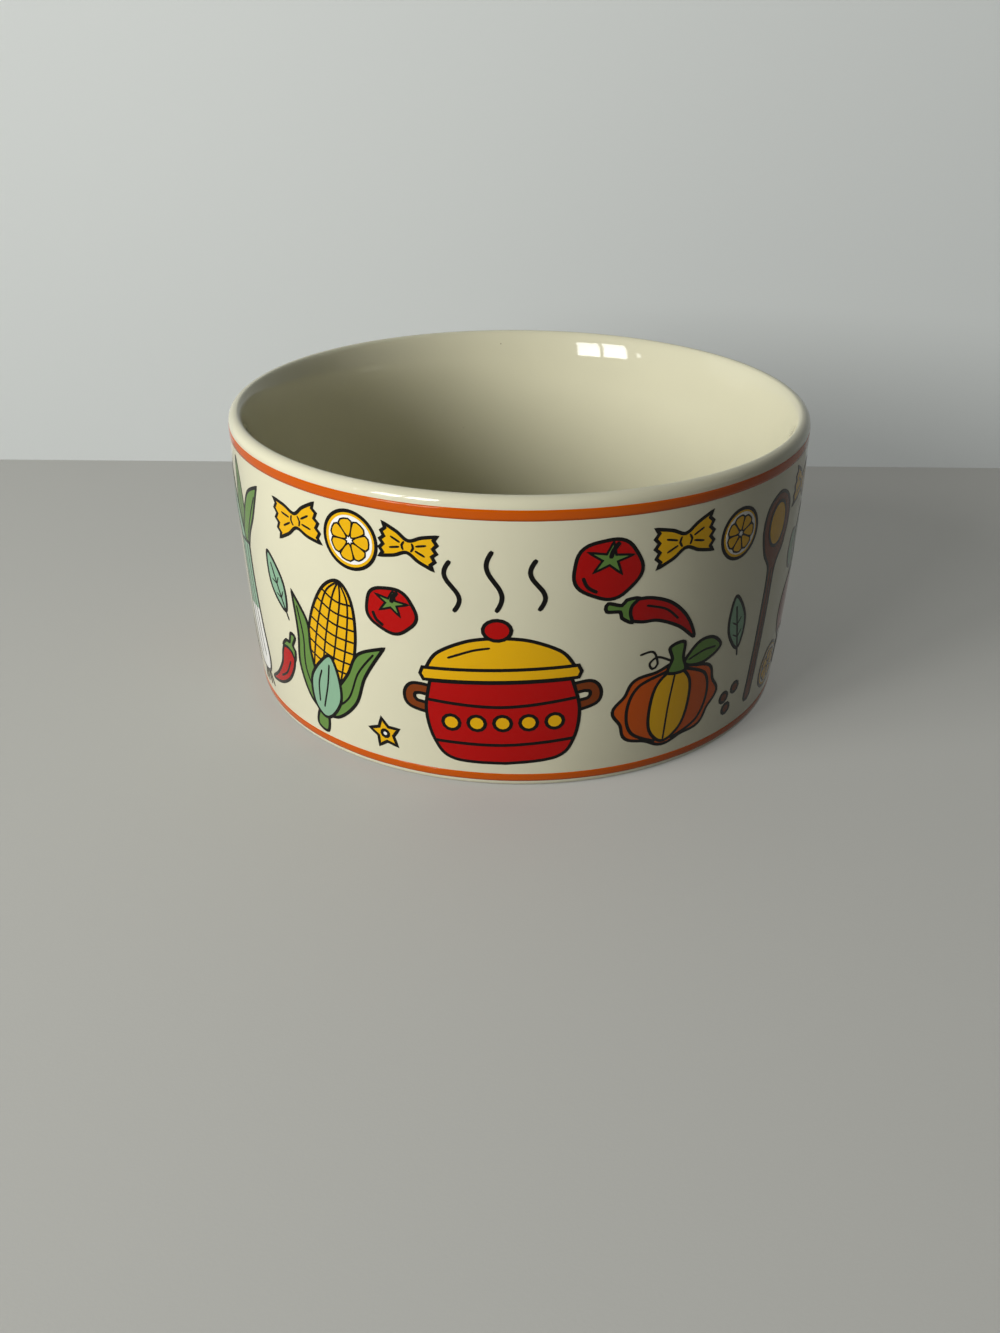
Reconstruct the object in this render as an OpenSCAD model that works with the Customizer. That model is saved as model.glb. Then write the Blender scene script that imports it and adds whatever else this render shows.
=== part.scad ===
// Wide, low stoneware soup mug with a ring handle, in millimetres.
// The origin is the centre of the foot on the table, +Z is up and the handle points along +Y.

/* [Bowl] */
// Outer diameter at the lip
rim_d = 125; // [95:1:150]
// Height from the table to the top of the lip
mug_h = 62; // [52:1:90]
// How far the wall is drawn in at the foot, on the radius
draw_in = 2.95; // [0.5:0.05:8]
// Bow of the wall: 1 is a straight cone, more keeps the wall upright for longer
wall_power = 2.3; // [1.2:0.1:4]
// Thickness of the wall under the lip
wall_t = 4.4; // [3:0.1:6]
// How much thicker the wall is at the foot than at the lip
wall_swell = 2.4; // [0:0.1:3]
// Radius of the lip's outer edge
lip_edge_r = 1.8; // [1:0.1:2]
// Height over which the inside eases back to the top of the lip
lip_ease_h = 10; // [2:0.5:16]
// Thickness of the floor
floor_t = 4.8; // [3.5:0.1:8]
// Radius inside, where the wall turns into the floor
inside_corner_r = 10; // [4:0.5:20]

/* [Foot] */
// Radius of the outer edge of the foot
foot_edge_r = 1.2; // [0.6:0.1:2]
// Width of the flat ring that the mug stands on
land_w = 3; // [2:0.1:6]
// Radius of the inner edge of that ring
land_edge_r = 0.5; // [0.2:0.1:0.6]
// Depth of the hollow under the floor
foot_recess = 2; // [1.9:0.1:4]
// Radius of the corner inside that hollow
recess_fillet_r = 1; // [0.5:0.1:1.2]

/* [Handle] */
// Diameter of the ring, measured on the middle of its strap
handle_d = 39; // [36:0.5:43]
// Width of the strap
strap_w = 15.5; // [10:0.5:20]
// Thickness of the strap
strap_t = 6.6; // [4.5:0.1:8]
// Height of the ring's centre above the table
handle_z = 30.5; // [28:0.5:33]
// How far the ring's centre stands out from the wall
handle_reach = 12.5; // [9:0.5:14]
// Leg of the wiped bead of slip round each end of the strap
bead_leg = 2.4; // [1:0.1:3]

/* [Bands] */
// Width of the upper band
upper_band_w = 2.1; // [1:0.1:4]
// From the top of the lip down to the upper band
upper_band_drop = 2.2; // [2.1:0.1:5]
// Width of the lower band
lower_band_w = 1.75; // [1:0.05:4]
// From the table up to the lower band
lower_band_z = 1.3; // [1.2:0.1:3]
// How deep the fired colour goes
band_depth = 0.3; // [0.2:0.05:0.6]

/* [Hidden] */
$fn = 120;

glaze_colour = [0.93, 0.91, 0.80];
slip_colour = [0.90, 0.87, 0.75];
band_colour = [0.87, 0.38, 0.03];

// Runs past a face, for every cut
overrun = 1;

// Numbers of straight steps in the curves of the outline and round a bead
wall_steps = 16;
lip_edge_steps = 6;
lip_ease_steps = 10;
edge_steps = 6;
corner_steps = 12;
band_steps = 4;
bead_steps = 40;
bead_curve_steps = 4;
// Rounds that bring a bead's root onto the wall
landing_steps = 4;

rim_r = rim_d / 2;
lip_z = mug_h - lip_edge_r;
ease_z = mug_h - lip_ease_h;
floor_z = foot_recess + floor_t;
ring_r = handle_d / 2;

// Radius of the outside of the wall at a height, upright under the lip
function wall_r(z) = rim_r - draw_in * pow((lip_z - min(z, lip_z)) / lip_z, wall_power);

// Slope of the outside of the wall, as run over rise
function wall_slope(z) =
    draw_in * wall_power / lip_z * pow((lip_z - min(z, lip_z)) / lip_z, wall_power - 1);

// Radius of the inside of the wall at a height
function inner_r(z) = wall_r(z) - wall_t - wall_swell * (lip_z - min(z, lip_z)) / lip_z;

// Height and radius on the inside of the lip, at an angle from 0 where the ease starts to 90 on top
function lip_ease_z(a) = ease_z + lip_ease_h * sin(a);
function lip_ease_r(a) = inner_r(lip_ease_z(a)) + (wall_t - lip_edge_r) * (1 - cos(a));

// Points of an arc, from one angle to another
function arc(centre, r, from, to, steps) =
    [for (i = [0:steps]) let (a = from + (to - from) * i / steps)
        centre + r * [cos(a), sin(a)]];

// Heights between two ends, without the ends
function between(low, high, steps) = [for (i = [1:steps - 1]) low + (high - low) * i / steps];

// The foot's outer edge meets the wall square to its lean
foot_lean = atan(wall_slope(foot_edge_r));
edge_top_z = foot_edge_r * (1 - sin(foot_lean));
edge_centre = [wall_r(edge_top_z) - foot_edge_r * cos(foot_lean), foot_edge_r];

// The hollow under the floor
land_edge_centre = [edge_centre.x - land_w, land_edge_r];
recess_r = land_edge_centre.x - land_edge_r;
recess_centre = [recess_r - recess_fillet_r, foot_recess - recess_fillet_r];

// The corner between the wall and the floor, inside
inside_lean = atan(wall_slope(floor_z + inside_corner_r) + wall_swell / lip_z);
corner_top_z = floor_z + inside_corner_r * (1 - sin(inside_lean));
corner_centre = [inner_r(corner_top_z) - inside_corner_r * cos(inside_lean),
                 floor_z + inside_corner_r];

// The outside of the mug, from the table to the lip
outside_points = concat(
    arc(edge_centre, foot_edge_r, -90, -foot_lean, edge_steps),
    [for (z = between(edge_top_z, lip_z, wall_steps)) [wall_r(z), z]]);

// The inside of the mug, from the top of the lip to the floor
inside_points = concat(
    [for (i = [lip_ease_steps - 1:-1:0]) let (a = 90 * i / lip_ease_steps)
        [lip_ease_r(a), lip_ease_z(a)]],
    [for (z = between(ease_z, corner_top_z, wall_steps)) [inner_r(z), z]],
    arc(corner_centre, inside_corner_r, -inside_lean, -90, corner_steps));

// The middle line of the ring lies in the plane x = 0
ring_y = wall_r(handle_z) + handle_reach;

// The jiggered bowl: foot, wall, eased lip and floor in one revolved outline
module mug_body() {
    color(glaze_colour)
    difference() {
        rotate_extrude()
            polygon(concat(
                [[0, foot_recess]],
                arc(recess_centre, recess_fillet_r, 90, 0, edge_steps),
                arc(land_edge_centre, land_edge_r, 180, 270, edge_steps),
                outside_points,
                arc([rim_r - lip_edge_r, lip_z], lip_edge_r, 0, 90, lip_edge_steps),
                inside_points,
                [[0, floor_z]]));
        wall_ring(mug_h - upper_band_drop - upper_band_w, upper_band_w, overrun);
        wall_ring(lower_band_z, lower_band_w, overrun);
    }
}

// A ring that follows the wall, from the depth of the bands to a height above its face
module wall_ring(low_z, width, above) {
    heights = concat([low_z], between(low_z, low_z + width, band_steps), [low_z + width]);
    rotate_extrude()
        polygon(concat(
            [for (z = heights) [wall_r(z) + above, z]],
            [for (i = [len(heights) - 1:-1:0]) [wall_r(heights[i]) - band_depth, heights[i]]]));
}

// The ring of strap, trimmed to the curve of the wall so that both ends sit on it
module handle() {
    color(glaze_colour)
    difference() {
        translate([0, ring_y, handle_z])
            rotate([0, 90, 0])
                rotate_extrude()
                    translate([ring_r, 0])
                        scale([strap_t / strap_w, 1])
                            circle(d = strap_w);
        rotate_extrude()
            polygon(concat(
                [[0, -overrun], [edge_centre.x, -overrun]],
                outside_points,
                [[rim_r, lip_z], [rim_r, mug_h + overrun], [0, mug_h + overrun]]));
    }
}

// Where the line of the strap at x and radius r from the ring's centre runs into the wall
function landing(x, r, side, wall, rounds) =
    let (y = sqrt(wall * wall - x * x),
         z = handle_z + side * sqrt(r * r - (y - ring_y) * (y - ring_y)))
    rounds == 0 ? [x, y, z] : landing(x, r, side, wall_r(z), rounds - 1);

// Point on the wall at x and z
function on_wall(x, z) = [x, sqrt(wall_r(z) * wall_r(z) - x * x), z];

// The section of a bead at angle t round the strap: its root, then a hollow curve from the strap
// to the wall, drawn in towards the root
function bead_section(t, side) =
    let (x = strap_w / 2 * cos(t),
         r = ring_r + strap_t / 2 * sin(t),
         normal = [strap_t * cos(t), strap_w * sin(t)] / norm([strap_t * cos(t), strap_w * sin(t)]),
         root = landing(x, r, side, wall_r(handle_z), landing_steps),
         root_angle = atan2(root.z - handle_z, root.y - ring_y),
         end_angle = root_angle - side * bead_leg / r * 180 / PI,
         on_strap = [x, ring_y + r * cos(end_angle), handle_z + r * sin(end_angle)],
         foot = on_wall(x + bead_leg * normal.x, root.z + side * bead_leg * normal.y))
    concat([root], [for (i = [0:bead_curve_steps]) let (s = i / bead_curve_steps)
        (1 - s) * (1 - s) * on_strap + 2 * s * (1 - s) * root + s * s * foot]);

// The bead of slip that lutes one end of the strap to the wall, wiped to a hollow fillet
module slip_bead(side) {
    sections = [for (i = [0:bead_steps - 1]) bead_section(side * i * 360 / bead_steps, side)];
    count = len(sections[0]);
    color(slip_colour)
        polyhedron(
            points = [for (section = sections) each section],
            faces = [for (i = [0:bead_steps - 1]) for (j = [0:count - 1])
                let (next_i = (i + 1) % bead_steps, next_j = (j + 1) % count,
                     a = i * count + j, b = next_i * count + j,
                     c = next_i * count + next_j, d = i * count + next_j)
                each [[a, b, c], [a, c, d]]]);
}

module upper_joint() {
    slip_bead(1);
}

module lower_joint() {
    slip_bead(-1);
}

// The orange line under the lip, flush with the wall
module upper_band() {
    color(band_colour)
        wall_ring(mug_h - upper_band_drop - upper_band_w, upper_band_w, 0);
}

// The orange line above the foot, flush with the wall
module lower_band() {
    color(band_colour)
        wall_ring(lower_band_z, lower_band_w, 0);
}

mug_body();
handle();
upper_joint();
lower_joint();
upper_band();
lower_band();
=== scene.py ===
"""A wide, low soup mug in cream stoneware: a ring handle, orange bands and a printed frieze."""
import math

import bmesh
import bpy
from mathutils import Matrix, Vector, geometry


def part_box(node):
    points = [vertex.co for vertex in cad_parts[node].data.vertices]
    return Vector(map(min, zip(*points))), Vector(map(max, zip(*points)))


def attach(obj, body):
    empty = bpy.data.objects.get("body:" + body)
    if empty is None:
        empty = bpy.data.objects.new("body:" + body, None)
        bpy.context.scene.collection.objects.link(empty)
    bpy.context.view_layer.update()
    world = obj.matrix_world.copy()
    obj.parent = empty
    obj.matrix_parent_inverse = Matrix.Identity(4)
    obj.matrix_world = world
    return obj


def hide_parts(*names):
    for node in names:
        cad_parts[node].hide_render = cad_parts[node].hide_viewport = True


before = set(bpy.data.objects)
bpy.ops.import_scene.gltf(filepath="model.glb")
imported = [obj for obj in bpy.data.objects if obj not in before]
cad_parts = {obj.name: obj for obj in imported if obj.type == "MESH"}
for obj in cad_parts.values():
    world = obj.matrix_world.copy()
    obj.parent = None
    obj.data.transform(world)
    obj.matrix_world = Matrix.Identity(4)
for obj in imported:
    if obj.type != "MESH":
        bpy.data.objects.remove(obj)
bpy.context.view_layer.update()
mm = 0.001


# The camera, held close in front of the mug and a little over twice as high as its lip.
# It looks down into the bowl, with the handle hidden straight behind.
picture_h = 1333
focal_pixels = 1300
sensor_long_side = 36
camera_away, camera_up = 278 * mm, 143 * mm
camera_pitch, camera_yaw, camera_roll = 0.488, -0.014, 0.004
camera_near = 10 * mm

ahead = Vector((math.sin(camera_yaw) * math.cos(camera_pitch),
                math.cos(camera_yaw) * math.cos(camera_pitch),
                -math.sin(camera_pitch)))
level_right = ahead.cross(Vector((0, 0, 1))).normalized()
level_up = level_right.cross(ahead)
right = level_right * math.cos(camera_roll) + level_up * math.sin(camera_roll)
up = level_up * math.cos(camera_roll) - level_right * math.sin(camera_roll)

camera = bpy.data.objects.new("camera", bpy.data.cameras.new("camera"))
camera.data.sensor_width = sensor_long_side
camera.data.lens = focal_pixels * sensor_long_side / picture_h
camera.data.clip_start = camera_near
camera.matrix_world = Matrix.Translation((0, -camera_away, camera_up)) @ Matrix(
    (right, up, -ahead)).transposed().to_4x4()
bpy.context.scene.collection.objects.link(camera)
bpy.context.scene.camera = camera
bpy.context.scene.view_settings.view_transform = "Standard"


# The table and the wall behind it, both plain and pale.
# The wall faces the mug only, and lets a camera behind it look through.
half_side = 6
wall_distance, wall_height = 135 * mm, 4
table_colour = (0.375, 0.377, 0.353, 1)
wall_colour = (0.404, 0.423, 0.411, 1)
table_glow, wall_glow = 0.33, 0.44
paper_bounce, paper_roughness = 0.7, 0.75
paper_grain_size, paper_grain_depth = 0.6 * mm, 0.1 * mm
paper_grain_strength = 0.15


def add_node(tree, kind, x, y, **settings):
    """A node in a tree, at a place in the editor, with its properties set."""
    node = tree.nodes.new(kind)
    node.location = (x, y)
    for name, value in settings.items():
        setattr(node, name, value)
    return node


def join(tree, *links):
    """Links in a tree, each given as a node, its output, the next node and that one's input."""
    for source, output, target, socket in links:
        tree.links.new(source.outputs[output], target.inputs[socket])


def new_material(name):
    """A material, its node tree and its shader."""
    material = bpy.data.materials.new(name)
    material.use_nodes = True
    return material, material.node_tree, material.node_tree.nodes["Principled BSDF"]


def paper_material(name, colour, glow):
    """A matt paper sheet with a fine grain, which shows on its front only.

    The mug gets less light back from it than the camera sees, as from paper that ends near by.
    """
    material, tree, surface = new_material(name)
    surface.inputs["Roughness"].default_value = paper_roughness
    surface.inputs["Emission Color"].default_value = colour
    path = add_node(tree, "ShaderNodeLightPath", -1300, 400)
    mirrored_too = add_node(tree, "ShaderNodeMath", -1000, 400, operation="MAXIMUM")
    seen = add_node(tree, "ShaderNodeMath", -800, 400, operation="MAXIMUM")
    tone = add_node(tree, "ShaderNodeMix", -600, 400, data_type="RGBA")
    tone.inputs["A"].default_value = (*(paper_bounce * part for part in colour[:3]), 1)
    tone.inputs["B"].default_value = colour
    shine = add_node(tree, "ShaderNodeMath", -400, 250, operation="MULTIPLY")
    shine.inputs[1].default_value = glow
    join(tree, (path, "Is Camera Ray", mirrored_too, 0), (path, "Is Glossy Ray", mirrored_too, 1),
         (mirrored_too, 0, seen, 0), (path, "Is Transmission Ray", seen, 1),
         (seen, 0, tone, "Factor"), (tone, "Result", surface, "Base Color"), (seen, 0, shine, 0),
         (shine, 0, surface, "Emission Strength"))
    where = add_node(tree, "ShaderNodeTexCoord", -900, 0)
    grain = add_node(tree, "ShaderNodeTexNoise", -600, -150)
    grain.inputs["Scale"].default_value = 1 / paper_grain_size
    bump = add_node(tree, "ShaderNodeBump", -300, -150)
    bump.inputs["Strength"].default_value = paper_grain_strength
    bump.inputs["Distance"].default_value = paper_grain_depth
    facing = add_node(tree, "ShaderNodeNewGeometry", 0, 300)
    clear = add_node(tree, "ShaderNodeBsdfTransparent", 100, -300)
    sides = add_node(tree, "ShaderNodeMixShader", 400, 100)
    join(tree, (where, "Object", grain, "Vector"), (grain, "Fac", bump, "Height"),
         (bump, "Normal", surface, "Normal"), (facing, "Backfacing", sides, 0),
         (surface, 0, sides, 1), (clear, 0, sides, 2),
         (sides, 0, tree.nodes["Material Output"], "Surface"))
    return material


for name, colour, glow, corners in (
        ("table", table_colour, table_glow,
         [(-half_side, -half_side, 0), (half_side, -half_side, 0),
          (half_side, half_side, 0), (-half_side, half_side, 0)]),
        ("wall", wall_colour, wall_glow,
         [(-half_side, wall_distance, 0), (half_side, wall_distance, 0),
          (half_side, wall_distance, wall_height), (-half_side, wall_distance, wall_height)])):
    sheet_mesh = bpy.data.meshes.new(name)
    sheet_mesh.from_pydata(corners, [], [(0, 1, 2, 3)])
    sheet_mesh.materials.append(paper_material(name + "_paper", colour, glow))
    sheet = bpy.data.objects.new(name, sheet_mesh)
    bpy.context.scene.collection.objects.link(sheet)


# The light: a window of two lit panes in front and to the left, a low broad light farther round to
# the left, and the dim room. The glaze mirrors the panes as two bright marks beside each other.
window_away, window_height = 0.6, 0.25
window_azimuth = math.radians(40.5)
pane_w, pane_h, pane_gap = 0.12, 0.25, 0.02
pane_power, glint_power = 0.57, 0.17
pane_spread = math.radians(110)
light_colour = (1.0, 0.99, 0.97)
# A narrow gleam beside the panes, seen only in the glaze
sliver_place, sliver_drop = -0.2, 0.05
sliver_w, sliver_h = 0.02, 0.07
sliver_power = 0.016
# The broad light, which the glaze doesn't mirror
broad_azimuth, broad_rise = math.radians(60), math.radians(25)
broad_away, broad_size = 1.2, 0.62
broad_power = 9.2
room_base = 0.006
# Each side of the room: where it lies, how bright it is and how narrow its glow is
room_sides = (((-0.93, -0.25, 0.3), 0.09, 6), ((0.95, -0.1, 0), 0.44, 6), ((0, 0, 1), 0.02, 2))
room_colour = (1.0, 0.985, 0.95)


def towards(azimuth, rise):
    """The direction at an angle round to the left of the front, and at a rise from the table."""
    return Vector((-math.sin(azimuth) * math.cos(rise), -math.cos(azimuth) * math.cos(rise),
                   math.sin(rise)))


def flat_light(name, shape, w, h, power, place, away):
    """A flat light at a place, with its back to a direction."""
    lamp = bpy.data.lights.new(name, "AREA")
    lamp.shape = shape
    lamp.size, lamp.size_y = w, h
    lamp.energy = power
    lamp.color = light_colour
    light = bpy.data.objects.new(name, lamp)
    light.location = place
    light.rotation_mode = "QUATERNION"
    light.rotation_quaternion = (-away).to_track_quat("-Z", "Y")
    bpy.context.scene.collection.objects.link(light)
    return light


to_window = towards(window_azimuth, 0)
along_window = Vector((math.cos(window_azimuth), -math.sin(window_azimuth), 0))
pane_place = (pane_w + pane_gap) / 2
for name, along, drop, w, h, power, lights_all in (
        ("left_pane", -pane_place, 0, pane_w, pane_h, pane_power, True),
        ("right_pane", pane_place, 0, pane_w, pane_h, pane_power, True),
        ("left_glint", -pane_place, 0, pane_w, pane_h, glint_power, False),
        ("right_glint", pane_place, 0, pane_w, pane_h, glint_power, False),
        ("sliver", sliver_place, sliver_drop, sliver_w, sliver_h, sliver_power, False)):
    place = (to_window * window_away + Vector((0, 0, window_height - drop))
             + along_window * along)
    pane = flat_light(name, "RECTANGLE", w, h, power, place, to_window)
    pane.data.spread = pane_spread
    pane.visible_diffuse = lights_all

to_broad = towards(broad_azimuth, broad_rise)
broad_light = flat_light("broad_light", "DISK", broad_size, broad_size, broad_power,
                         to_broad * broad_away, to_broad)
broad_light.visible_glossy = False

room = bpy.data.worlds.new("room")
room.use_nodes = True
tree = room.node_tree
backdrop = tree.nodes["Background"]
backdrop.inputs["Color"].default_value = (*room_colour, 1)
looking = add_node(tree, "ShaderNodeTexCoord", -1300, 0)
total = None
for row, (way, strength, narrowness) in enumerate(room_sides):
    share = add_node(tree, "ShaderNodeVectorMath", -1100, -180 * row, operation="DOT_PRODUCT")
    share.inputs[1].default_value = Vector(way).normalized()
    ahead_only = add_node(tree, "ShaderNodeMath", -900, -180 * row, operation="MAXIMUM")
    ahead_only.inputs[1].default_value = 0
    soft = add_node(tree, "ShaderNodeMath", -700, -180 * row, operation="POWER")
    soft.inputs[1].default_value = narrowness
    glow = add_node(tree, "ShaderNodeMath", -500, -180 * row, operation="MULTIPLY_ADD")
    glow.inputs[1].default_value = strength
    glow.inputs[2].default_value = room_base
    join(tree, (looking, "Generated", share, 0), (share, "Value", ahead_only, 0),
         (ahead_only, 0, soft, 0), (soft, 0, glow, 0))
    if total is not None:
        join(tree, (total, 0, glow, 2))
    total = glow
join(tree, (total, 0, backdrop, "Strength"))
bpy.context.scene.world = room


# The bowl, jiggered in cream stoneware: foot, drawn-in wall, eased lip and floor in one turn.
# It is dipped in a glossy ivory glaze, and the ring that it stands on is wiped bare.
bowl_low, bowl_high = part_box("mug_body")
rim_r = (bowl_high.x - bowl_low.x) / 2
mug_h = bowl_high.z - bowl_low.z
draw_in = 2.95 * mm
wall_power = 2.3
wall_t = 4.4 * mm
wall_swell = 2.4 * mm
lip_edge_r = 1.8 * mm
lip_ease_h = 10 * mm
floor_t = 4.8 * mm
inside_corner_r = 10 * mm
foot_edge_r = 1.2 * mm
land_w = 3 * mm
land_edge_r = 0.5 * mm
foot_recess = 2 * mm
recess_fillet_r = 1 * mm

lip_z = mug_h - lip_edge_r
ease_z = mug_h - lip_ease_h
floor_z = foot_recess + floor_t

# Straight steps of the outline, from the middle of the underside to the middle of the floor
recess_steps, recess_fillet_steps, land_edge_steps, foot_edge_steps = 8, 8, 6, 8
wall_steps, lip_edge_steps, lip_ease_steps = 48, 12, 24
inside_steps, corner_steps, floor_steps = 28, 16, 12
turn_steps = 288


def wall_r(z):
    """Radius of the outside of the wall at a height."""
    return rim_r - draw_in * ((lip_z - min(z, lip_z)) / lip_z) ** wall_power


def wall_slope(z):
    """Slope of the outside of the wall, as run over rise."""
    return draw_in * wall_power / lip_z * ((lip_z - min(z, lip_z)) / lip_z) ** (wall_power - 1)


def inner_r(z):
    """Radius of the inside of the wall at a height, without the lip's ease."""
    return wall_r(z) - wall_t - wall_swell * (lip_z - min(z, lip_z)) / lip_z


def arc(centre_r, centre_z, radius, start, end, steps):
    """Points of an arc in the plane of the outline, with the angles in degrees."""
    turns = [math.radians(start + (end - start) * i / steps) for i in range(steps + 1)]
    return [(centre_r + radius * math.cos(a), centre_z + radius * math.sin(a)) for a in turns]


def between(low, high, steps):
    """Heights between two ends, without the ends."""
    return [low + (high - low) * i / steps for i in range(1, steps)]


foot_lean = math.atan(wall_slope(foot_edge_r))
edge_top_z = foot_edge_r * (1 - math.sin(foot_lean))
edge_r = wall_r(edge_top_z) - foot_edge_r * math.cos(foot_lean)
land_edge = edge_r - land_w


def bowl_outline():
    """The outline from the middle of the underside, round the foot and the lip, to the floor."""
    recess_edge = land_edge - land_edge_r - recess_fillet_r
    inside_lean = math.atan(wall_slope(floor_z + inside_corner_r) + wall_swell / lip_z)
    corner_top_z = floor_z + inside_corner_r * (1 - math.sin(inside_lean))
    corner_r = inner_r(corner_top_z) - inside_corner_r * math.cos(inside_lean)
    points = [(recess_edge * i / recess_steps, foot_recess) for i in range(recess_steps)]
    points += arc(recess_edge, foot_recess - recess_fillet_r, recess_fillet_r, 90, 0,
                  recess_fillet_steps)
    points += arc(land_edge, land_edge_r, land_edge_r, 180, 270, land_edge_steps)
    points += arc(edge_r, foot_edge_r, foot_edge_r, -90, -math.degrees(foot_lean), foot_edge_steps)
    points += [(wall_r(z), z) for z in between(edge_top_z, lip_z, wall_steps)]
    points += arc(rim_r - lip_edge_r, lip_z, lip_edge_r, 0, 90, lip_edge_steps)
    for i in reversed(range(lip_ease_steps)):
        turn = math.pi / 2 * i / lip_ease_steps
        z = ease_z + lip_ease_h * math.sin(turn)
        points.append((inner_r(z) + (wall_t - lip_edge_r) * (1 - math.cos(turn)), z))
    points += [(inner_r(z), z) for z in between(ease_z, corner_top_z, inside_steps)]
    points += arc(corner_r, floor_z + inside_corner_r, inside_corner_r,
                  -math.degrees(inside_lean), -90, corner_steps)
    return points + [(corner_r * (1 - i / floor_steps), floor_z)
                     for i in range(1, floor_steps + 1)]


def turning_tree():
    """Geometry Nodes that turn an outline about the axis, as a potter's wheel does."""
    tree = bpy.data.node_groups.new("turning", "GeometryNodeTree")
    for name, kind in (("Outline", "Object"), ("Steps", "Int"), ("Path Radius", "Float"),
                       ("Waver", "Float"), ("Waver Size", "Float"), ("Weld", "Float"),
                       ("Material", "Material")):
        tree.interface.new_socket(name, in_out="INPUT", socket_type="NodeSocket" + kind)
    tree.interface.new_socket("Geometry", in_out="OUTPUT", socket_type="NodeSocketGeometry")
    given = add_node(tree, "NodeGroupInput", -1200, 0)
    outline = add_node(tree, "GeometryNodeObjectInfo", -1000, 200)
    outward = add_node(tree, "ShaderNodeMath", -1000, -60, operation="MULTIPLY")
    outward.inputs[1].default_value = -1
    inset = add_node(tree, "ShaderNodeCombineXYZ", -820, -60)
    profile = add_node(tree, "GeometryNodeTransform", -640, 200)
    profile.inputs["Scale"].default_value = (1, -1, 1)
    path = add_node(tree, "GeometryNodeCurvePrimitiveCircle", -820, 420, mode="RADIUS")
    upright = add_node(tree, "GeometryNodeSetCurveNormal", -640, 420, mode="Z_UP")
    turned = add_node(tree, "GeometryNodeCurveToMesh", -440, 300)
    position = add_node(tree, "GeometryNodeInputPosition", -1000, -260)
    inverse = add_node(tree, "ShaderNodeMath", -1000, -340, operation="DIVIDE")
    inverse.inputs[0].default_value = 1
    noise = add_node(tree, "ShaderNodeTexNoise", -820, -260)
    centred = add_node(tree, "ShaderNodeMath", -640, -260, operation="SUBTRACT")
    centred.inputs[1].default_value = 0.5
    amount = add_node(tree, "ShaderNodeMath", -460, -260, operation="MULTIPLY")
    lift = add_node(tree, "ShaderNodeCombineXYZ", -280, -260)
    moved = add_node(tree, "GeometryNodeSetPosition", -240, 200)
    welded = add_node(tree, "GeometryNodeMergeByDistance", -60, 200)
    smooth = add_node(tree, "GeometryNodeSetShadeSmooth", 120, 200)
    solid = add_node(tree, "GeometryNodeRealizeInstances", 300, 200)
    dressed = add_node(tree, "GeometryNodeSetMaterial", 480, 200)
    made = add_node(tree, "NodeGroupOutput", 660, 200)
    join(tree, (given, "Outline", outline, "Object"), (given, "Path Radius", outward, 0),
         (outward, 0, inset, "X"), (outline, "Geometry", profile, "Geometry"),
         (inset, 0, profile, "Translation"), (given, "Steps", path, "Resolution"),
         (given, "Path Radius", path, "Radius"), (path, "Curve", upright, "Curve"),
         (upright, "Curve", turned, "Curve"), (profile, "Geometry", turned, "Profile Curve"),
         (given, "Waver Size", inverse, 1), (position, 0, noise, "Vector"),
         (inverse, 0, noise, "Scale"), (noise, "Fac", centred, 0), (centred, 0, amount, 0),
         (given, "Waver", amount, 1), (amount, 0, lift, "Z"), (lift, 0, moved, "Offset"),
         (given, "Weld", welded, "Distance"), (given, "Material", dressed, "Material"))
    stages = (turned, moved, welded, smooth, solid, dressed, made)
    for stage, following in zip(stages, stages[1:]):
        join(tree, (stage, 0, following, 0))
    return tree


turning = turning_tree()
# The circle that the outline is swept along; the outline is set in by the same radius
path_r, weld_gap = 10 * mm, 0.001 * mm


def turned_piece(name, outline, closed, material, waver=0.0, waver_size=1.0):
    """A plain mesh turned from an outline of (radius, height) points, faces outwards."""
    curve = bpy.data.curves.new(name + "_outline", "CURVE")
    spline = curve.splines.new("POLY")
    spline.points.add(len(outline) - 1)
    for point, (radius, height) in zip(spline.points, outline):
        point.co = (radius, height, 0, 1)
    spline.use_cyclic_u = closed
    outline_object = bpy.data.objects.new(name + "_outline", curve)
    blank = bpy.data.objects.new(name + "_blank", bpy.data.meshes.new(name + "_blank"))
    for made in (outline_object, blank):
        bpy.context.scene.collection.objects.link(made)
    modifier = blank.modifiers.new("turning", "NODES")
    modifier.node_group = turning
    values = {"Outline": outline_object, "Steps": turn_steps, "Path Radius": path_r,
              "Waver": waver, "Waver Size": waver_size, "Weld": weld_gap, "Material": material}
    for item in turning.interface.items_tree:
        if item.in_out == "INPUT":
            modifier[item.identifier] = values[item.name]
    evaluated = blank.evaluated_get(bpy.context.evaluated_depsgraph_get())
    mesh = bpy.data.meshes.new_from_object(evaluated)
    for used in (blank, outline_object):
        bpy.data.objects.remove(used)
    return finished_piece(name, mesh)


def finished_piece(name, mesh):
    """An object at the origin that holds a mesh, with its faces turned outwards."""
    shell = bmesh.new()
    shell.from_mesh(mesh)
    bmesh.ops.recalc_face_normals(shell, faces=shell.faces)
    shell.to_mesh(mesh)
    shell.free()
    mesh.name = name
    piece = bpy.data.objects.new(name, mesh)
    bpy.context.scene.collection.objects.link(piece)
    return piece


# The marks of the firing: the clouds of the mottle and how far they move the colour and the
# roughness, the specks with their cells, and the slow wave and fine skin of the glaze
cloud_size, cloud_detail = 16 * mm, 4
mottle, patch_roughness = 0.06, 0.03
speck_cell, speck_share = 5 * mm, 0.12
speck_least, speck_growth = 0.015, 0.03
speck_colour, speck_strength = (0.11, 0.07, 0.04, 1), 0.6
wave_size, wave_depth = 13 * mm, 0.05 * mm
skin_size, skin_depth = 1.6 * mm, 0.0015 * mm


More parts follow.
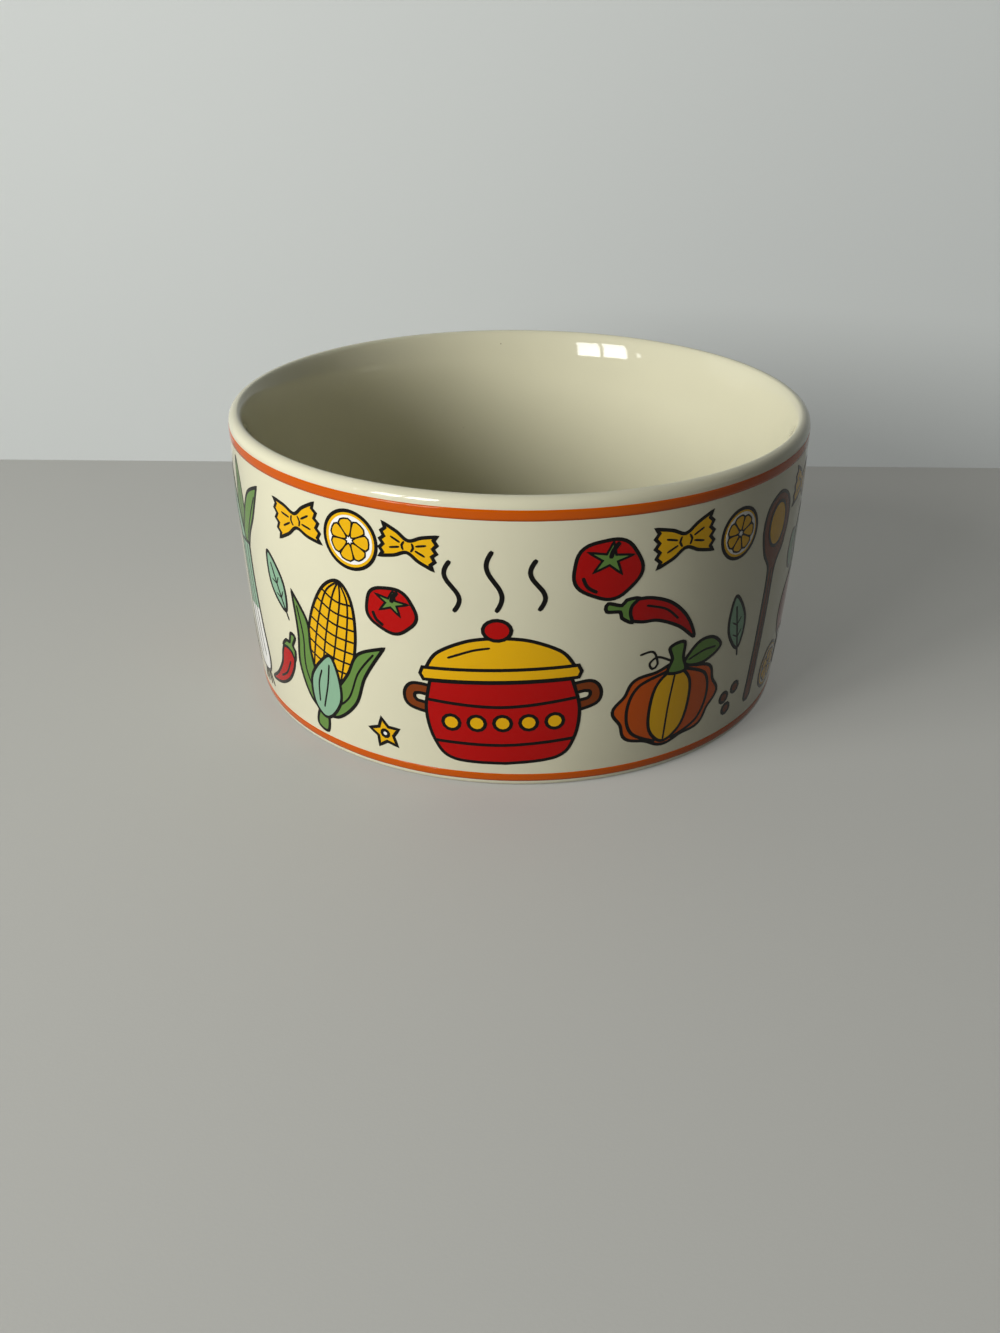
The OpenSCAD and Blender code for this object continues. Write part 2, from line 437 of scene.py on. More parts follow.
def fired_surface_group():
    """What every glazed face shares: a faint mottle, iron specks and the slow wave of the glaze."""
    tree = bpy.data.node_groups.new("fired_surface", "ShaderNodeTree")
    for name, kind in (("Colour", "Color"), ("Roughness", "Float")):
        tree.interface.new_socket(name, in_out="INPUT", socket_type="NodeSocket" + kind)
    for name, kind in (("Colour", "Color"), ("Roughness", "Float"), ("Normal", "Vector")):
        tree.interface.new_socket(name, in_out="OUTPUT", socket_type="NodeSocket" + kind)
    given = add_node(tree, "NodeGroupInput", -1500, 0)
    where = add_node(tree, "ShaderNodeTexCoord", -1500, -300)
    cloud = add_node(tree, "ShaderNodeTexNoise", -1200, 200)
    cloud.inputs["Scale"].default_value = 1 / cloud_size
    cloud.inputs["Detail"].default_value = cloud_detail
    spread = add_node(tree, "ShaderNodeMath", -1000, 200, operation="SUBTRACT")
    spread.inputs[1].default_value = 0.5
    shade = add_node(tree, "ShaderNodeMath", -800, 200, operation="MULTIPLY_ADD")
    shade.inputs[1].default_value = mottle
    shade.inputs[2].default_value = 1
    toned = add_node(tree, "ShaderNodeVectorMath", -600, 200, operation="SCALE")
    cells = add_node(tree, "ShaderNodeTexVoronoi", -1200, -100, feature="F1")
    cells.inputs["Scale"].default_value = 1 / speck_cell
    pick = add_node(tree, "ShaderNodeSeparateColor", -1000, -180)
    rare = add_node(tree, "ShaderNodeMath", -800, -180, operation="LESS_THAN")
    rare.inputs[1].default_value = speck_share
    speck_size = add_node(tree, "ShaderNodeMath", -800, -340, operation="MULTIPLY_ADD")
    speck_size.inputs[1].default_value = speck_growth
    speck_size.inputs[2].default_value = speck_least
    dot = add_node(tree, "ShaderNodeMath", -600, -100, operation="LESS_THAN")
    speck = add_node(tree, "ShaderNodeMath", -400, -140, operation="MULTIPLY")
    strength = add_node(tree, "ShaderNodeMath", -250, -140, operation="MULTIPLY")
    strength.inputs[1].default_value = speck_strength
    spotted = add_node(tree, "ShaderNodeMix", -100, 150, data_type="RGBA")
    spotted.inputs["B"].default_value = speck_colour
    wave = add_node(tree, "ShaderNodeTexNoise", -1200, -520)
    wave.inputs["Scale"].default_value = 1 / wave_size
    wave.inputs["Detail"].default_value = 1
    slow = add_node(tree, "ShaderNodeBump", -900, -520)
    slow.inputs["Distance"].default_value = wave_depth
    slow.inputs["Strength"].default_value = 1
    skin = add_node(tree, "ShaderNodeTexNoise", -900, -720)
    skin.inputs["Scale"].default_value = 1 / skin_size
    fine = add_node(tree, "ShaderNodeBump", -600, -560)
    fine.inputs["Distance"].default_value = skin_depth
    fine.inputs["Strength"].default_value = 1
    patches = add_node(tree, "ShaderNodeMath", -800, 420, operation="MULTIPLY_ADD")
    patches.inputs[1].default_value = patch_roughness
    made = add_node(tree, "NodeGroupOutput", 200, 0)
    for texture in (cloud, cells, wave, skin):
        join(tree, (where, "Object", texture, "Vector"))
    join(tree, (cloud, "Fac", spread, 0), (spread, 0, shade, 0), (given, "Colour", toned, 0),
         (shade, 0, toned, "Scale"), (cells, "Color", pick, 0), (pick, "Red", rare, 0),
         (pick, "Green", speck_size, 0), (cells, "Distance", dot, 0), (speck_size, 0, dot, 1),
         (rare, 0, speck, 0), (dot, 0, speck, 1), (speck, 0, strength, 0),
         (strength, 0, spotted, "Factor"), (toned, 0, spotted, "A"), (wave, "Fac", slow, "Height"),
         (skin, "Fac", fine, "Height"), (slow, "Normal", fine, "Normal"), (spread, 0, patches, 0),
         (given, "Roughness", patches, 2), (spotted, "Result", made, "Colour"),
         (patches, 0, made, "Roughness"), (fine, "Normal", made, "Normal"))
    return tree


fired_surface = fired_surface_group()
glaze_colour = (0.607, 0.587, 0.43, 1)
glaze_roughness, ink_roughness = 0.045, 0.09
glaze_gloss, ink_gloss = 0.5, 0.2


def glaze_material(name, colour, roughness, gloss):
    """A glossy fired colour, with the marks that the firing leaves."""
    material, tree, surface = new_material(name)
    fired = add_node(tree, "ShaderNodeGroup", -300, 0, node_tree=fired_surface)
    fired.inputs["Colour"].default_value = colour
    fired.inputs["Roughness"].default_value = roughness
    surface.inputs["Specular IOR Level"].default_value = gloss
    join(tree, (fired, "Colour", surface, "Base Color"), (fired, "Roughness", surface, "Roughness"),
         (fired, "Normal", surface, "Normal"))
    return material


glaze = glaze_material("ivory_glaze", glaze_colour, glaze_roughness, glaze_gloss)
bowl = turned_piece("bowl", bowl_outline(), False, glaze)
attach(bowl, "root")
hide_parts("mug_body")


# The bare ring of clay that the mug stands on, wiped clean of glaze before the firing.
# It keeps to the flat of the foot and turns a little way up both its edges.
bare_skin, bare_depth = 0.012 * mm, 0.15 * mm
bare_outer_turn, bare_inner_turn = 38, 50
bare_edge_steps = 6
clay_colour, clay_dark = (0.52, 0.44, 0.33, 1), (0.36, 0.29, 0.20, 1)
clay_roughness, rubbed_size = 0.85, 6 * mm
sand_size, sand_depth = 0.5 * mm, 0.08 * mm


def clay_material():
    """Matt fired clay, sandy to the touch and rubbed darker in places."""
    material, tree, surface = new_material("bare_clay")
    surface.inputs["Roughness"].default_value = clay_roughness
    where = add_node(tree, "ShaderNodeTexCoord", -1000, 0)
    rubbed = add_node(tree, "ShaderNodeTexNoise", -800, 150)
    rubbed.inputs["Scale"].default_value = 1 / rubbed_size
    sand = add_node(tree, "ShaderNodeTexNoise", -800, -150)
    sand.inputs["Scale"].default_value = 1 / sand_size
    tone = add_node(tree, "ShaderNodeMix", -400, 150, data_type="RGBA")
    tone.inputs["A"].default_value = clay_colour
    tone.inputs["B"].default_value = clay_dark
    bump = add_node(tree, "ShaderNodeBump", -400, -150)
    bump.inputs["Distance"].default_value = sand_depth
    join(tree, (where, "Object", rubbed, "Vector"), (where, "Object", sand, "Vector"),
         (rubbed, "Fac", tone, "Factor"), (tone, "Result", surface, "Base Color"),
         (sand, "Fac", bump, "Height"), (bump, "Normal", surface, "Normal"))
    return material


bare_line = []
for offset, order in ((bare_skin, 1), (-bare_depth, -1)):
    line = arc(edge_r, foot_edge_r, foot_edge_r + offset, -90 + bare_outer_turn, -90,
               bare_edge_steps)
    line += arc(land_edge, land_edge_r, land_edge_r + offset, -90, -90 - bare_inner_turn,
                bare_edge_steps)
    bare_line += line[::order]
bare_foot = turned_piece("bare_foot", bare_line, True, clay_material())
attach(bare_foot, "root")


# The two orange bands, lines of ceramic transfer laid on the glaze and fired into it.
# Their edges waver by a tenth of a millimetre, as a transfer slid on by hand does.
upper_band_w = 2.1 * mm
upper_band_drop = 2.2 * mm
lower_band_w = 1.75 * mm
lower_band_z = 1.3 * mm
band_lift, band_depth = 0.03 * mm, 0.2 * mm
band_waver, band_waver_size = 0.12 * mm, 14 * mm
band_steps = 4
band_colour = (0.484, 0.08, 0.001, 1)

band_material = glaze_material("orange_transfer", band_colour, ink_roughness, ink_gloss)
for name, node, low_z, width in (
        ("upper_band_line", "upper_band", mug_h - upper_band_drop - upper_band_w, upper_band_w),
        ("lower_band_line", "lower_band", lower_band_z, lower_band_w)):
    heights = [low_z + width * i / band_steps for i in range(band_steps + 1)]
    outline = [(wall_r(z) + band_lift, z) for z in heights]
    outline += [(wall_r(z) - band_depth, z) for z in reversed(heights)]
    band = turned_piece(name, outline, True, band_material, band_waver, band_waver_size)
    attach(band, "root")
    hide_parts(node)


# The handle: a ring of pressed strap, scribed to the drawn-in wall and luted on with slip.
# The slip is wiped to a hollow fillet round both ends, and the glaze runs over all of it.
handle_d = 39 * mm
strap_w = 15.5 * mm
strap_t = 6.6 * mm
handle_z = 30.5 * mm
handle_reach = 12.5 * mm
bead_leg = 2.4 * mm
handle_sunk = 0.8 * mm
ring_r = handle_d / 2
ring_y = wall_r(handle_z) + handle_reach
around_steps, ring_steps, bead_curve_steps = 72, 96, 12
# Rounds that bring a line's end onto the wall
landing_rounds = 6


def landing(x, r, end):
    """Where the strap's line at x and radius r of the ring runs into the wall."""
    wall = wall_r(handle_z)
    for _ in range(landing_rounds):
        y = math.sqrt(wall * wall - x * x)
        z = handle_z + end * math.sqrt(r * r - (y - ring_y) ** 2)
        wall = wall_r(z)
    return Vector((x, y, z))


def strap_line(turn):
    """One line along the strap, from inside the wall, over both beads, to inside the wall."""
    x = strap_w / 2 * math.cos(turn)
    r = ring_r + strap_t / 2 * math.sin(turn)
    spread = Vector((strap_t * math.cos(turn), strap_w * math.sin(turn))).normalized()
    ends = []
    for end in (-1, 1):
        root = landing(x, r, end)
        start = math.atan2(root.z - handle_z, root.y - ring_y) - end * bead_leg / r
        on_strap = Vector((x, ring_y + r * math.cos(start), handle_z + r * math.sin(start)))
        foot_x = x + bead_leg * spread.x
        foot_z = root.z + end * bead_leg * spread.y
        foot = Vector((foot_x, math.sqrt(wall_r(foot_z) ** 2 - foot_x ** 2), foot_z))
        inward = Vector((foot.x, foot.y, 0)).normalized() * handle_sunk
        bead = [foot - inward]
        for i in range(bead_curve_steps):
            s = i / bead_curve_steps
            bead.append((1 - s) ** 2 * foot + 2 * s * (1 - s) * root + s * s * on_strap)
        ends.append((start, bead))
    (low, line), (high, high_bead) = ends
    for i in range(ring_steps + 1):
        a = low + (high - low) * i / ring_steps
        line.append(Vector((x, ring_y + r * math.cos(a), handle_z + r * math.sin(a))))
    return line + high_bead[::-1]


def handle_mesh():
    """The strap's lines joined into one skin, with a cap at each end inside the wall."""
    lines = [strap_line(2 * math.pi * i / around_steps) for i in range(around_steps)]
    length = len(lines[0])
    points = [point for line in lines for point in line]
    faces = []
    for i in range(around_steps):
        a, b = i * length, (i + 1) % around_steps * length
        faces += [(a + j, a + j + 1, b + j + 1, b + j) for j in range(length - 1)]
    for j in (0, length - 1):
        loop = [i * length + j for i in range(around_steps)]
        points.append(sum((points[k] for k in loop), Vector()) / around_steps)
        faces += [(loop[i], loop[(i + 1) % around_steps], len(points) - 1)
                  for i in range(around_steps)]
    mesh = bpy.data.meshes.new("ring_handle")
    mesh.from_pydata(points, [], faces)
    mesh.materials.append(glaze)
    mesh.shade_smooth()
    return mesh


handle = finished_piece("ring_handle", handle_mesh())
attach(handle, "root")
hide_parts("handle", "upper_joint", "lower_joint")


# The printed frieze, a ceramic transfer of kitchen things between the two bands: seven flat inks
# and black pen lines over them, slid on wet in one sheet and fired into the glaze.
# All its sizes are in millimetres, as on the flat drawing.
print_r = 61.5
ink_lift, ink_step, ink_depth = 0.012, 0.018, 0.1
cell_s, cell_z = 1, 2
curve_step, point_gap, least_gap = 0.6, 0.9, 0.02
# Pen widths, from bold to hair-fine
bold_pen, line_pen, mark_pen, thin_pen, fine_pen, hair_pen = 0.9, 0.72, 0.7, 0.5, 0.46, 0.35
# A pen line's width at its ends, and how sharp a bend it follows at full width, both as shares
pen_taper, pen_bend = 0.6, 0.62


def smooth(points, closed=True, step=curve_step):
    """A smooth line through a few points."""
    count = len(points)
    curve = []
    for i in range(count if closed else count - 1):
        if closed:
            a, b, c, d = (points[(i + k) % count] for k in (-1, 0, 1, 2))
        else:
            a, b, c, d = (points[min(max(i + k, 0), count - 1)] for k in (-1, 0, 1, 2))
        steps = max(2, round(math.dist(b, c) / step))
        for t in (j / steps for j in range(steps)):
            curve.append(tuple(
                0.5 * (2 * q + (r - p) * t + (2 * p - 5 * q + 4 * r - s) * t * t
                       + (3 * q - p - 3 * r + s) * t ** 3)
                for p, q, r, s in zip(a, b, c, d)))
    return curve if closed else curve + [tuple(points[-1])]


def oval(x, z, half_w, half_h):
    """A closed oval."""
    steps = max(10, round(math.pi * (half_w + half_h) / point_gap))
    turns = [2 * math.pi * i / steps for i in range(steps)]
    return [(x + half_w * math.cos(a), z + half_h * math.sin(a)) for a in turns]


def lobed(half_w, half_h, lobes, depth, steps):
    """A closed oval with lobes round it."""
    curve = []
    for a in (2 * math.pi * i / steps for i in range(steps)):
        swell = 1 + depth * math.cos(lobes * a)
        curve.append((half_w * swell * math.cos(a), half_h * swell * math.sin(a)))
    return curve


def moved(points, x=0, z=0, lean=0, size=1):
    """Points sized, leaned and set down at a place."""
    c, s = math.cos(math.radians(lean)) * size, math.sin(math.radians(lean)) * size
    return [(x + c * px - s * pz, z + s * px + c * pz) for px, pz in points]


def mirrored(points):
    """The other half of an even shape, in the same direction round."""
    return [(-x, z) for x, z in reversed(points)]


def both_sides(half):
    """A closed smooth shape from its right half, which starts and ends on the middle."""
    return smooth(half + mirrored(half[1:-1]))


# A mark is its ink, its layer, its points, a pen width, which is none for a filled area, and
# whether it closes
def area(ink, points, layer=1):
    """A filled area."""
    return [(ink, layer, points, None, True)]


def pen(points, layer=1, width=line_pen, closed=False):
    """A pen line, over the areas of its layer."""
    return [("black", layer + 0.5, points, width, closed)]


def shape(ink, points, layer=1):
    """A filled area with a pen line round it."""
    return area(ink, points, layer) + pen(points, layer, closed=True)


def strokes(layer, width, *lines):
    """Open pen lines, each through a few points."""
    return [mark for points in lines for mark in pen(smooth(points, False), layer, width)]


def tomato():
    calyx = []
    for i in range(10):
        a, reach = math.pi / 2 + math.pi * i / 5, 2 if i % 2 else 6
        calyx.append((reach * math.cos(a), 2.6 + reach * 0.75 * math.sin(a)))
    return (shape("red", lobed(8.4, 7.6, 5, 0.035, 46)) + area("green", calyx, 2)
            + pen(calyx, 2, fine_pen, True) + strokes(3, bold_pen, [(0, 2.8), (0.3, 4.8), (1.5, 7)])
            + strokes(1, mark_pen, [(-5.8, -2.4), (-4.2, -4.8), (-1.6, -6)]))


def corn_cob():
    cob = both_sides([(0, 18), (3.6, 15), (5.9, 8), (6.5, 0), (5.9, -8), (3.8, -14), (0, -16)])
    marks = shape("yellow", cob)
    for share in (-0.62, -0.21, 0.21, 0.62):
        edge = ((0, 18), (4.6, 14), (6.3, 6), (6.6, -2), (5.9, -9), (4.2, -13.5))
        marks += strokes(1, fine_pen, [(x * share, z) for x, z in edge])
    for z in (13.6 - 2.8 * i for i in range(10)):
        reach = 6.4 * math.sqrt(max(0, 1 - ((z + 1) / 19.2) ** 2))
        marks += strokes(1, fine_pen, [(-reach, z + 0.5), (0, z - 0.5), (reach, z + 0.5)])
    leaf = (smooth([(0.5, -17.5), (-4.5, -15.5), (-8.6, -9), (-9.8, -1), (-12.8, 8)], False)
            + smooth([(-12.8, 8), (-7.2, 3.5), (-5.4, -3), (-2.6, -9.5), (0.5, -17.5)],
                     False)[1:-1])
    vein = [(-1.5, -15.6), (-6.4, -9), (-8, -1), (-10.8, 5.4)]
    front = [(-3.2, -15.6), (-4.4, -9.5), (-1.6, -3), (0.6, -1.2), (3.4, -5.5), (4.6, -11),
             (2.6, -16.4), (0, -18)]
    stalk = [(-1.3, -17), (-1.7, -21.4), (1.5, -21.6), (1.3, -17)]
    return (marks + shape("green", leaf, 2) + shape("green", mirrored(leaf), 2)
            + strokes(2, fine_pen, vein, mirrored(vein)) + shape("green", smooth(stalk), 2)
            + shape("mint", smooth(front), 3)
            + strokes(3, fine_pen, [(0.3, -3.4), (0.5, -9), (0, -15.5)],
                      [(-1.6, -6), (-2.1, -10), (-1.4, -14.8)]))


def steam(x, low, high):
    """The points of a wisp of steam, one slow wave."""
    return [(x + 1.3 * math.sin(math.pi * i / 4), low + (high - low) * i / 8) for i in range(9)]


def soup_pot():
    side = smooth([(14, 6), (15.4, -1), (14.2, -8), (10.6, -12.2), (0, -13.2)], False)
    belly = side + mirrored(side)[1:]
    lid = smooth([(14.6, 8.8), (12, 12.4), (6, 15.2), (0, 16)], False)
    lid += mirrored(lid)[1:]
    rim = [(15.3, 6.2), (15.9, 7.5), (15.3, 8.9), (-15.3, 8.9), (-15.9, 7.5), (-15.3, 6.2)]
    ear = smooth([(-13, 4.4), (-17.8, 5), (-19.8, 2.6), (-18.8, -0.4), (-13, -1.6), (-15, 0.6),
                  (-17.2, 1.2), (-17.6, 2.4), (-16.6, 2.9), (-13, 2.6)])
    marks = shape("brown", ear, 0) + shape("brown", mirrored(ear), 0)
    marks += shape("red", belly) + shape("yellow", lid) + shape("yellow", rim, 2)
    marks += shape("red", oval(0, 17.6, 2.7, 2.2), 2)
    for i in range(5):
        marks += shape("yellow", oval(-10.4 + 5.2 * i, -3.4, 1.75, 1.75), 2)
    marks += strokes(1, line_pen, [(-14.9, 1.6), (0, 0.4), (14.9, 1.6)],
                     [(-14.2, -8), (0, -8.7), (14.2, -8)])
    marks += strokes(1, thin_pen, [(-10, 11.4), (-5, 13.2), (-1.5, 13.8)])
    for x, top in ((-8, 1), (0, 3), (8, 1)):
        marks += strokes(1, bold_pen, steam(x, 21.5, 31 + top))
    return marks


def carrot():
    root = [(-4.6, 10.4), (-2.2, 12), (2.2, 12), (4.6, 10.4), (4.8, 6), (3.4, -2), (1.6, -10),
            (0.2, -17), (-0.6, -17), (-1.8, -10), (-3.6, -2), (-4.9, 6)]
    frond = both_sides([(0, 0), (2.4, 3), (1.5, 5.2), (3.4, 8), (1.9, 9.8), (2.4, 12.6), (0, 15)])
    marks = []
    for lean, size, layer in ((34, 0.85, 0), (-34, 0.85, 0), (0, 1, 1)):
        marks += shape("green", moved(frond, 0, 11, lean, size), layer)
        marks += pen(moved([(0, 0), (0, 11.5)], 0, 11, lean, size), layer, fine_pen)
    marks += shape("orange", smooth(root), 2)
    for x, z, w in ((-4.6, 7.6, 3), (4.9, 5, -3.2), (-4, 1.6, 2.4), (3.1, -2.6, -2.4),
                    (-2.6, -5.6, 1.8)):
        marks += strokes(2, thin_pen, [(x, z), (x + w * 0.6, z - 0.5), (x + w, z - 0.3)])
    return marks


def radish():
    leaf = both_sides([(0, 0), (2.3, 3.6), (1.4, 6.2), (4, 9), (3.8, 13.4), (0, 16.6)])
    marks = []
    for lean, size, ink, layer in ((38, 0.9, "mint", 0), (-38, 0.9, "mint", 0), (0, 1, "green", 1)):
        marks += shape(ink, moved(leaf, 0, 5, lean, size), layer)
        marks += pen(moved([(0, 1), (0, 13)], 0, 5, lean, size), layer, fine_pen)
    globe = both_sides([(0, 7.2), (3.4, 6.6), (6.6, 3.6), (7.4, -1), (5, -5.4), (1.4, -8.2),
                        (0, -14)])
    tip = both_sides([(0, -6.2), (1.6, -5.4), (3, -6.6), (1.3, -8.4), (0, -13.6)])
    return (marks + shape("red", globe, 2) + area("white", tip, 3) + pen(tip, 3, thin_pen, True)
            + strokes(2, mark_pen, [(-4.9, 2.6), (-5.5, 0), (-4.6, -2.6)]))


def leek():
    shaft = [(3.1, 10), (2.9, 2), (3.5, -8), (4, -15), (2.6, -18.6), (0, -19.4)]
    side = smooth(shaft, False)
    stem = side + mirrored(side)[1:]
    fade = sum(z > -5 for x, z in side)
    green_part, white_part = side[:fade], side[fade - 1:]
    leaf = (smooth([(-0.6, 4), (-4.6, 12), (-8.6, 17), (-12.6, 24)], False)
            + smooth([(-12.6, 24), (-6.8, 21.6), (-2.4, 16), (2, 8)], False)[1:])
    middle = [(-2.6, 7), (-3.2, 15), (-1.2, 23), (0.4, 27.5), (2.6, 20), (2.8, 7)]
    marks = shape("green", smooth(middle), 0) + strokes(0, fine_pen, [(0, 8), (0.2, 24)])
    marks += shape("green", mirrored(leaf))
    marks += strokes(1, fine_pen, [(1, 8), (5.6, 15), (10.6, 21.6)])
    marks += shape("mint", leaf, 2)
    marks += strokes(2, fine_pen, [(-1, 8), (-5.6, 15), (-10.6, 21.6)])
    marks += area("mint", green_part + mirrored(green_part), 3)
    marks += area("white", white_part + mirrored(white_part)[1:], 3)
    marks += pen(stem, 3, closed=True)
    marks += strokes(3, fine_pen, *([(x, 9.4), (x * 0.8, 0), (x, -16)] for x in (-1.3, 1.2)))
    for a in (math.radians(angle) for angle in (-34, -12, 12, 34)):
        marks += strokes(3, thin_pen, [(2.2 * math.sin(a), -19), (4.2 * math.sin(a), -21),
                                       (5.4 * math.sin(a), -22.6)])
    return marks


def wooden_spoon():
    spoon = [(0, -21.4), (1.2, -20.6), (1.3, -16), (1.3, 0), (1.5, 8), (4.2, 12), (5.6, 17),
             (4.4, 21.4), (0, 23.6)]
    return (shape("brown", both_sides(spoon)) + shape("yellow", oval(0, 17.2, 3.5, 4.5), 2)
            + strokes(1, fine_pen, [(0.1, 8), (0.3, -6), (0, -17)]))


def pumpkin():
    rib = ((1.6, 8.4), (8.5, 5.6), (10.4, 0), (8.5, -5.8), (2, -9))
    inner = both_sides([(0, 8.6), (4, 5.6), (5, 0), (4, -6), (0, -9.2)])
    stalk = [(-2, 7.8), (-1.4, 11), (-2.4, 13.8), (1, 14.6), (1.4, 11), (2.4, 7.8)]
    leaf = [(2, 9.6), (5, 13.6), (9, 14), (12, 11.4), (8.8, 9), (5, 8.4)]
    curl = [(-1.6, 10.6), (-5, 12), (-6.8, 10.8), (-6, 9.4), (-4.9, 10.4), (-6.4, 13.4), (-9.4, 13)]
    return (shape("orange", lobed(13, 9.6, 8, 0.05, 80)) + shape("yellow", inner, 2)
            + strokes(1, line_pen, rib, mirrored(rib))
            + strokes(2, fine_pen, [(0, 8.2), (-0.3, 0), (0, -8.8)])
            + strokes(0, thin_pen, curl) + shape("green", smooth(leaf), 2)
            + strokes(2, fine_pen, [(3, 10), (7, 11.4), (10.4, 11.5)])
            + shape("green", smooth(stalk), 3))


def clay_bowl():
    side = smooth([(14, 3), (13, -2.6), (9.6, -7.6), (5.4, -10.4)], False)
    foot = [(-5.6, -10), (-6.2, -12.8), (6.2, -12.8), (5.6, -10)]
    zigzag = [(-11.6 + 2.32 * i, -1.6 if i % 2 else -4.4) for i in range(11)]
    band = [(x, z + 1) for x, z in zigzag] + [(x, z - 1) for x, z in reversed(zigzag)]
    marks = shape("brown", foot, 0) + shape("brown", mirrored(side) + side)
    marks += shape("yellow", band, 2) + shape("mint", oval(0, 3, 14, 3.6), 2)
    for x, z in ((-5.4, 3.4), (0.6, 2), (5.6, 3.8)):
        marks += shape("green", oval(x, z, 1.5, 0.8), 3)
    for x in (-6, 0, 6):
        marks += strokes(1, bold_pen, steam(x, 9, 18.2))
    return marks


def chilli():
    pod = [(-2.1, 7.2), (0, 8), (2.1, 7.4), (3.2, 3.6), (2.4, -2), (-0.8, -7.4), (-5.4, -11),
           (-3, -5.8), (-1.8, 0), (-2.4, 4)]
    cap = [(-2.7, 6.2), (-1.9, 8.9), (-0.6, 9.6), (-0.9, 12.6), (0.9, 12.8), (0.9, 9.7),
           (2.2, 9), (2.9, 6.4), (1, 7.4), (-0.8, 7.2)]
    return (shape("red", smooth(pod)) + shape("green", smooth(cap), 2)
            + strokes(1, thin_pen, [(1.4, 4), (0.9, -1), (-1.2, -5)]))


def bow_pasta():
    edge = [(6.6, 4.2), (5.9, 3.1), (6.8, 2.1), (6, 1), (6.9, 0), (6, -1), (6.8, -2.1), (5.9, -3.1),
            (6.6, -4.2)]
    waist = smooth([(6.6, -4.2), (3, -3), (0, -1.5), (-3, -3), (-6.6, -4.2)], False)
    top = [(x, -z) for x, z in reversed(waist)]
    marks = shape("yellow", edge + waist[1:-1] + mirrored(edge) + top[1:-1])
    for end in (-1, 1):
        marks += strokes(1, thin_pen, [(end * 0.9, 1.1), (end * 1.4, 0), (end * 0.9, -1.1)])
        marks += strokes(1, fine_pen, *([(end * 1.9, z), (end * 4.4, z * 2.6)]
                                        for z in (-0.55, 0.55)))
    return marks


def star_pasta():
    star = [(reach * math.sin(math.pi * i / 5), reach * math.cos(math.pi * i / 5))
            for i, reach in enumerate((3.6, 1.9) * 5)]
    return shape("yellow", star) + shape("white", oval(0, 0, 0.8, 0.8), 2)


def lemon_slice():
    marks = shape("yellow", oval(0, 0, 5.8, 5.8)) + area("white", oval(0, 0, 4.9, 4.9), 2)
    wedge = smooth([(0.7, 0), (3.6, -1.5), (4.3, 0), (3.6, 1.5)], True, 0.7)
    for i in range(7):
        part = moved(wedge, lean=360 * i / 7)
        marks += area("yellow", part, 3) + pen(part, 3, hair_pen, True)
    return marks


def bay_leaf():
    leaf = both_sides([(0, -6.4), (2.3, -2.6), (2.4, 1.6), (0, 6.4)])
    veins = [[(0, z - 0.6), (side * 1.4, z + 0.7)] for z in (-3, 0) for side in (-1, 1)]
    return (shape("mint", leaf) + strokes(1, thin_pen, [(0, -8.4), (0, 4)])
            + strokes(1, hair_pen, *veins))


def peppercorns():
    marks = []
    for x, z in ((0, 0), (3.6, 1.2), (1.4, -3.2)):
        marks += shape("brown", oval(x, z, 1.25, 1.25))
    return marks


# Each motif, its turn round the wall from the front in degrees, its height, its lean and its size
layout = (
    (leek, -66, 28, 5, 1.02), (bay_leaf, -51.5, 35, 24, 1), (chilli, -52.5, 14.5, -28, 0.85),
    (bow_pasta, -43, 50.8, 10, 0.95), (corn_cob, -37, 24.5, -14, 0.95),
    (lemon_slice, -30, 50.4, 0, 1), (bow_pasta, -18.7, 51.3, -8, 0.8),
    (tomato, -22.5, 37.6, -10, 0.62), (star_pasta, -25.5, 9, 10, 1),
    (soup_pot, -2.5, 18.6, 3, 0.98), (tomato, 15.5, 47.6, -8, 0.78), (bow_pasta, 30, 51, 6, 0.95),
    (chilli, 26, 37, 76, 0.9), (pumpkin, 30, 15.5, -4, 0.95), (bay_leaf, 45.5, 29, 12, 1),
    (lemon_slice, 43.2, 49, 0, 0.88), (peppercorns, 45, 11.5, 0, 1),
    (wooden_spoon, 55.5, 29, -3, 1.04), (lemon_slice, 64.5, 10.8, 0, 0.9),
    (radish, 73, 22.5, -10, 1.02), (bow_pasta, 70, 51, -9, 0.95), (tomato, 89, 49, 12, 0.72),
    (clay_bowl, 101, 18, 0, 1), (lemon_slice, 104, 48.4, 0, 0.95), (carrot, 127, 30, -30, 1),
    (bow_pasta, 119, 9.4, -20, 0.85), (star_pasta, 119.5, 50.5, 12, 1),
    (chilli, 133.5, 14, 30, 0.85), (corn_cob, 148, 25, 12, 0.95), (bow_pasta, 155.5, 51, 4, 0.85),
    (lemon_slice, 162.5, 10.2, 0, 0.8), (peppercorns, 143, 49.5, 0, 1),
    (bow_pasta, -88.5, 50, -12, 0.95), (chilli, -92, 38, 78, 0.85), (pumpkin, -93, 16, 4, 0.95),
    (lemon_slice, -103.5, 49.5, 0, 0.9), (bay_leaf, -77.5, 12, 20, 0.9),
    (radish, -119, 25.5, 10, 1.02), (star_pasta, -110.5, 10, 0, 1), (peppercorns, -105, 35, 0, 1),
    (wooden_spoon, -136.5, 27, -8, 0.98), (clay_bowl, -153.5, 18, 0, 0.95),
    (bow_pasta, -122.5, 52, 6, 0.8), (tomato, -150, 48, -6, 0.8),
    (bow_pasta, -161.5, 50.8, 14, 0.72), (bay_leaf, -132, 10, 64, 0.85),
)


def on_mug(s, z, lift):
    """The place on the wall of a point of the flat drawing, lifted off the glaze."""
    turn = s / print_r - math.pi / 2
    radius = wall_r(z * mm) + lift * mm
    return radius * math.cos(turn), radius * math.sin(turn), z * mm


